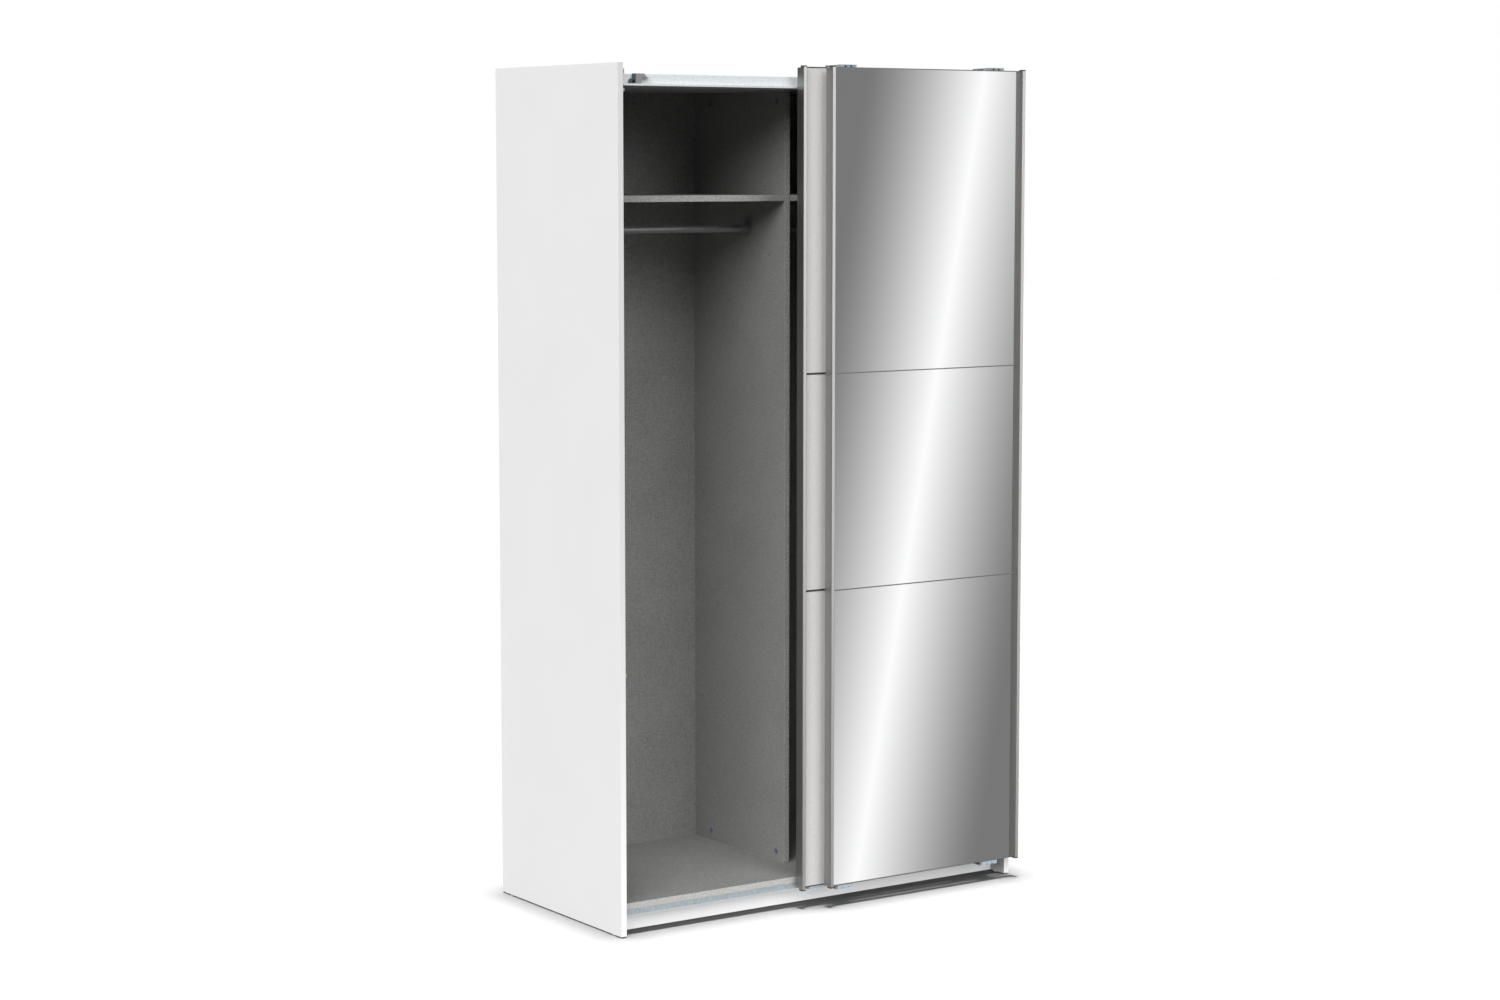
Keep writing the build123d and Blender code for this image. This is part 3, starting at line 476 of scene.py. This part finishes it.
def fastener_tree(name, crossed):
    """Sets one fastener on each point, domed or flat with a cross recess. Each is turned at
    random, by the seed and by where it comes in the points' order."""
    group = bpy.data.node_groups.new(name, "GeometryNodeTree")
    group.is_modifier = True
    tree = Tree(group)
    group.interface.new_socket("Points", in_out="INPUT", socket_type="NodeSocketGeometry")
    for size in ("Head Radius", "Head Height", "Shank Radius", "Shank Length", "Tilt"):
        group.interface.new_socket(size, in_out="INPUT", socket_type="NodeSocketFloat")
    group.interface.new_socket("Seed", in_out="INPUT", socket_type="NodeSocketInt")
    group.interface.new_socket("Metal", in_out="INPUT", socket_type="NodeSocketMaterial")
    group.interface.new_socket("Geometry", in_out="OUTPUT", socket_type="NodeSocketGeometry")
    given = {item.name: tree.node("NodeGroupInput", out=item.name)
             for item in group.interface.items_tree if item.in_out == "INPUT"}

    def moved(mesh, rise, scale=None):
        """A mesh lifted along its own axis, and flattened where that is asked for."""
        wanted = {"Geometry": mesh, "Translation": tree.node("ShaderNodeCombineXYZ", None, {2: rise})}
        if scale:
            wanted["Scale"] = scale
        return tree.node("GeometryNodeTransform", None, wanted)

    radius, height = given["Head Radius"], given["Head Height"]
    if crossed:
        arm_length, arm_width, arm_depth = radius * 1.1, radius * 0.2, height * 1.4
        disc = tree.node("GeometryNodeMeshCylinder", None,
                         {"Vertices": 28, "Radius": radius, "Depth": height})
        arms = []
        for long_side, short_side in ((0, 1), (1, 0)):
            size = tree.node("ShaderNodeCombineXYZ", None,
                             {long_side: arm_length, short_side: arm_width, 2: arm_depth})
            arms.append(moved(tree.node("GeometryNodeMeshCube", None, {"Size": size}), height))
        head = tree.node("GeometryNodeMeshBoolean", {"operation": "DIFFERENCE"},
                         {"Mesh 1": moved(disc, height / 2), "Mesh 2": arms})
    else:
        ball = tree.node("GeometryNodeMeshUVSphere", None,
                         {"Segments": 14, "Rings": 7, "Radius": radius})
        flat = tree.node("ShaderNodeCombineXYZ", None, {0: 1.0, 1: 1.0, 2: height / radius})
        smooth = tree.node("GeometryNodeSetShadeSmooth", None, {"Geometry": ball})
        head = moved(smooth, 0.0, flat)
    length = given["Shank Length"]
    shank = tree.node("GeometryNodeMeshCylinder", None,
                      {"Vertices": 12, "Radius": given["Shank Radius"], "Depth": length})
    whole = tree.node("GeometryNodeJoinGeometry", None, {0: [head, moved(shank, length * -0.5)]})
    aim = tree.node("GeometryNodeInputNamedAttribute", {"data_type": "FLOAT_VECTOR"}, {"Name": "aim"})
    upright = tree.node("FunctionNodeAlignRotationToVector", {"axis": "Z"}, {"Vector": aim})
    for axis, reach, salt in (((0.0, 0.0, 1.0), math.pi, 1), ((1.0, 0.0, 0.0), given["Tilt"], 2)):
        turn = tree.node("FunctionNodeRandomValue", {"data_type": "FLOAT"},
                         {2: reach * -1.0, 3: reach, "Seed": given["Seed"] + salt}, 1)
        spin = tree.node("FunctionNodeAxisAngleToRotation", None, {"Axis": axis, "Angle": turn})
        upright = tree.node("FunctionNodeRotateRotation", {"rotation_space": "LOCAL"},
                            {"Rotation": upright, "Rotate By": spin})
    placed = tree.node("GeometryNodeInstanceOnPoints", None,
                       {"Points": given["Points"], "Instance": whole, "Rotation": upright})
    real = tree.node("GeometryNodeRealizeInstances", None, {"Geometry": placed})
    finished = tree.node("GeometryNodeSetMaterial", None, {"Geometry": real, "Material": given["Metal"]})
    tree.node("NodeGroupOutput", None, {"Geometry": finished})
    return group


def fasten(node, group, metal, slot, along=None, **sizes):
    """Makes a node's fasteners with a tree, on the spots and in the directions of the node's own."""
    spots = heads_of(node, along)
    points = bpy.data.meshes.new(node + "_spots")
    points.from_pydata([end - axis * sizes["Head_Height"] for end, axis in spots], [], [])
    aims = points.attributes.new("aim", "FLOAT_VECTOR", "POINT")
    aims.data.foreach_set("vector", [part for end, axis in spots for part in axis])
    piece = bpy.data.objects.new(node + "_made", points)
    bpy.context.scene.collection.objects.link(piece)
    modifier = piece.modifiers.new("fasteners", "NODES")
    modifier.node_group = group
    values = {name.replace("_", " "): value for name, value in sizes.items()}
    values |= {"Metal": metal, "Seed": 7}
    for item in group.interface.items_tree:
        if item.in_out == "INPUT" and item.name in values:
            modifier[item.identifier] = values[item.name]
    evaluated = piece.evaluated_get(bpy.context.evaluated_depsgraph_get())
    mesh = bpy.data.meshes.new_from_object(evaluated)
    piece.modifiers.remove(modifier)
    piece.data = mesh
    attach(piece, nodes[node]["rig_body"])
    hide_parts(node)


domed = fastener_tree("domed_fasteners", crossed=False)
bright_zinc = zinc_plate("bright_zinc", (126, 129, 134), (166, 169, 174), 0.5)
fasten("back_sheet_nails", domed, bright_zinc, "zinc", Head_Radius=0.0016, Head_Height=0.0006,
       Shank_Radius=0.0006, Shank_Length=0.017, Tilt=0.05)

# ------------------------------------------------------------------ cams, bolts, dowels, pins
# Zinc-plated cams turn home on steel bolts and draw the boards together over beech dowels. Steel
# pins carry the shelves. The same steel makes the doors' axles and guide pins, and the spring
# leaves of the end stops.


def out_of_board(middle, size):
    """Cams look to the left out of the divider, up out of the top and down out of the bottom."""
    if size.x < size.z:
        return Vector((-1.0, 0.0, 0.0))
    return Vector((0.0, 0.0, 1.0 if middle.z > 1.0 else -1.0))


crossed_heads = fastener_tree("crossed_fasteners", crossed=True)
dark_zinc = zinc_plate("dark_zinc", (112, 120, 138), (150, 158, 176), 0.2)
fasten("cam_locks", crossed_heads, dark_zinc, "zinc", along=out_of_board, Head_Radius=0.0073,
       Head_Height=0.0015, Shank_Radius=0.0070, Shank_Length=0.0105, Tilt=0.0)
dress(zinc_plate("pin_steel", (120, 124, 130), (170, 174, 180)), "cam_bolts", "shelf_pins",
      "outer_pins", "inner_pins", "stop_leaves")

beech = Finish("beech")
place = beech.place()
figure = beech.grain(place, (60.0, 600.0, 600.0), 4.0)
dress(beech.done(
    Base_Color=beech.mix(figure, tone(176, 138, 94), tone(214, 180, 134)),
    Roughness=0.6 + 0.1 * figure,
    Normal=beech.bump(figure, 0.0001),
), "wood_dowels")

# ------------------------------------------------------------------ wood screws
# Screws with a low round head and a cross recess hold the rail cups, the wall brackets and the
# top track, and rows of the same size hold the doors' brackets.

for screws in ("wood_screws", "outer_bracket_screws", "inner_bracket_screws"):
    fasten(screws, crossed_heads, bright_zinc, "zinc", Head_Radius=0.0035, Head_Height=0.0014,
           Shank_Radius=0.0015, Shank_Length=0.0064, Tilt=0.0)

# ------------------------------------------------------------------ hanging rails
# Drawn steel tubes with a bright finish, each held in a cup at both ends. The cups are cast with
# an oval foot that two screws hold to the boards.


def drawn_metal(name, dark, pale, lines, metallic, smooth, relief, strength=0.6):
    """Metal drawn along its length: fine lines in two close shades, and their relief."""
    finish = Finish(name)
    texture = finish.grain(finish.place(), lines)
    return finish.done(
        Base_Color=finish.mix(texture, tone(*dark), tone(*pale)),
        Metallic=metallic,
        Roughness=smooth + 0.12 * texture,
        Normal=finish.bump(texture, relief, strength),
    )


dress(drawn_metal("rail_steel", (150, 150, 152), (196, 196, 198), (12.0, 1500.0, 1500.0), 0.6, 0.3,
                  0.00002), "hanging_rail_left", "hanging_rail_right")

cup_metal = Finish("cup_metal")
place = cup_metal.place()
cast = cup_metal.grain(place, (900.0, 900.0, 900.0), 3.0)
dress(cup_metal.done(
    Base_Color=cup_metal.mix(cast, tone(132, 132, 133), tone(162, 162, 163)),
    Metallic=0.15,
    Roughness=0.5 + 0.15 * cast,
    Normal=cup_metal.bump(cast, 0.0001),
), "rail_sockets")

# ------------------------------------------------------------------ glides and bumpers
# Pale moulded plastic: glides nailed under the side panels, and small round bumpers on their
# inner faces that the doors' uprights meet.


def moulded(name, dark, pale, pips, smooth, rough, relief, detail=2.0):
    """Moulded plastic or rubber: its two close shades, its pips to the metre and their relief."""
    finish = Finish(name)
    texture = finish.grain(finish.place(), (pips, pips, pips), detail)
    return finish.done(
        Base_Color=finish.mix(texture, tone(*dark), tone(*pale)),
        Roughness=smooth + (rough - smooth) * texture,
        Normal=finish.bump(texture, relief),
    )


dress(moulded("pale_plastic", (196, 196, 194), (218, 218, 216), 1200.0, 0.45, 0.60, 0.00005),
      "foot_glides", "side_bumpers")

# ------------------------------------------------------------------ galvanised sheet parts
# The top track, the guide rail, the wall brackets and the doors' brackets are rolled and pressed
# from galvanised sheet: pale blue-grey, clouded and flecked with darker crystals. The one sheet is
# given lit and shaded copies: the top track is painted nearly white as painted light, and the guide
# rail and the brackets are painted darker as painted shade.


def galvanised(name, low, high, fleck, plain, metallic, *parts):
    """Zinc-coated sheet: its clouded colour from dull to bright, its flecks, and a plain colour as
    painted highlight on the hem along the first part's lower edge and on all that lies lower still."""
    hem_height, fleck_strength = 0.0014, 0.7
    sheet = Finish(name)
    place = sheet.place()
    z = sheet.axes(place)[2]
    haze = sheet.grain(place, (120.0, 120.0, 120.0), 4.0)
    flecks = sheet.grain(place, (300.0, 300.0, 300.0), 2.0)
    crystals = sheet.node("ShaderNodeTexVoronoi", None, {"Vector": place, "Scale": 260.0}, 1)
    facet = sheet.axes(crystals)[0]
    clouded = sheet.mix((haze * 1.4 - 0.2 + facet * 0.2).held(), tone(*low), tone(*high))
    flecked = sheet.mix(flecks.above(0.6, 9.0) * fleck_strength, clouded, tone(*fleck))
    # Painted highlight: from the hem down the sheet takes a plain brighter colour, which stands for the
    # light on its rolled lower edge.
    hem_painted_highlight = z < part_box(parts[0])[0].z + hem_height
    dress(sheet.done(
        Base_Color=sheet.mix(hem_painted_highlight, flecked, tone(*plain)),
        Metallic=metallic,
        Roughness=0.3 + 0.15 * facet,
        Normal=sheet.bump(facet + haze, 0.00003, 0.4),
    ), *parts)


# Painted light: the top track's sheet is nearly white and hardly metallic, for the light on its lip.
galvanised("galvanised_painted_light", (244, 252, 255), (252, 255, 255), (180, 198, 210), (252, 255, 255),
           0.06, "top_track")
# Painted shade: the guide rail's sheet is darker, for the shade under the bottom panel's edge.
galvanised("galvanised_painted_shade", (154, 166, 174), (190, 201, 208), (134, 146, 154), (224, 230, 235),
           0.3, "guide_rail")
# Painted shade: the brackets' sheet is darker than the track's, for the shade round the doors' ends.
galvanised("pressed_galvanised_painted_shade", (150, 164, 176), (190, 204, 214), (120, 136, 150), (190, 204, 214),
           0.3, "wall_brackets", "outer_top_brackets", "outer_bottom_brackets", "inner_top_brackets",
           "inner_bottom_brackets")

# ------------------------------------------------------------------ guide rail rivets
# Domed rivets come up through the guide rail and the bottom panel, and are set on its top face.

fasten("guide_rail_rivets", domed, dark_zinc, "zinc", Head_Radius=0.0039, Head_Height=0.0012,
       Shank_Radius=0.0022, Shank_Length=0.016, Tilt=0.02)

# ------------------------------------------------------------------ end stops
# Grey moulded stops are pressed into the track at both ends of the wheels' lanes. A blue-grey
# rubber loop is their cushion, and a thin spring leaf holds the wheel.

dress(moulded("stop_grey", (152, 152, 152), (168, 168, 167), 1400.0, 0.48, 0.63, 0.00006),
      "end_stops")
dress(moulded("loop_rubber", (80, 90, 98), (104, 114, 122), 500.0, 0.6, 0.8, 0.00008, 4.0),
      "stop_buffers")

# ------------------------------------------------------------------ mirror panes
# The outer door's three panes are silvered float glass, flat to within a hair, glued on
# white-faced backing boards.

silvered = Finish("silvered_glass")
place = silvered.place()
float_wave = silvered.grain(place, (3.0, 3.0, 3.0), 0.0)
film = silvered.grain(place, (30.0, 30.0, 30.0), 3.0)
dress(silvered.done(
    Base_Color=silvered.mix(film, (0.985, 0.99, 0.99, 1.0), (0.998, 1.0, 1.0, 1.0)),
    Metallic=1.0,
    Roughness=0.008 + 0.008 * film,
    Normal=silvered.bump(float_wave, 0.00002, 0.3),
), "outer_mirror_bottom", "outer_mirror_middle", "outer_mirror_top")

# ------------------------------------------------------------------ plain door boards
# The inner door's three boards, and the outer door's backing, are thin chipboard faced with a
# pale, slightly warm melamine that has a fine woven texture.

door_board = Finish("door_board")
place = door_board.place()
weave = (
    door_board.grain(place, (700.0, 700.0, 90.0))
    + door_board.grain(place, (90.0, 700.0, 700.0))
) / 2.0
grit = door_board.grain(place, (420.0, 420.0, 420.0), 3.0)
shade = (weave.swing(2.4) + grit.swing(1.6) + 0.5).held()
dress(door_board.done(
    Base_Color=door_board.mix(shade, tone(235, 234, 232), tone(251, 250, 248)),
    Roughness=0.45 + 0.15 * weave,
    Specular_IOR_Level=0.15,
    Normal=door_board.bump(weave, 0.00008),
), "inner_panel_bottom", "inner_panel_middle", "inner_panel_top", "outer_backing_boards")

# ------------------------------------------------------------------ door uprights and strips
# Satin-anodised aluminium extrusions run the full height of each door's edges, with dark plastic
# caps on their ends. Narrow strips cover the joints between the panels: bright on the mirrored
# door, dark on the plain one.

uprights = ("outer_stile_left", "outer_stile_right", "inner_stile_left", "inner_stile_right")
dress(drawn_metal("satin_aluminium", (156, 155, 153), (174, 173, 171), (2600.0, 2600.0, 9.0), 0.9, 0.34,
                  0.00003, 0.4), *uprights, "outer_cross_strips")
dress(drawn_metal("dark_strip", (70, 68, 66), (96, 94, 92), (9.0, 2600.0, 2600.0), 0.4, 0.42,
                  0.00003, 0.4), "inner_cross_strips")

# A weak lamp low at the front right shines on the uprights alone, and gives them their sheen.
sheen_lamp = hang("sheen_lamp", "SUN", 0.52, -front_right - Vector((0.0, 0.0, 0.05)),
                  only_on=[nodes[name] for name in uprights])
sheen_lamp.data.angle = math.radians(25)

dress(moulded("cap_plastic", (66, 62, 60), (88, 84, 82), 1400.0, 0.50, 0.65, 0.00006),
      "outer_stile_caps", "inner_stile_caps")

# ------------------------------------------------------------------ running wheels and guides
# Nylon wheels carry the doors on the track, and round nylon studs under the doors run in the
# guide rail's lanes.

dress(moulded("natural_nylon", (214, 212, 204), (232, 230, 222), 500.0, 0.35, 0.47, 0.00005),
      "outer_wheel_left", "outer_wheel_right", "inner_wheel_left", "inner_wheel_right",
      "outer_guides", "inner_guides")
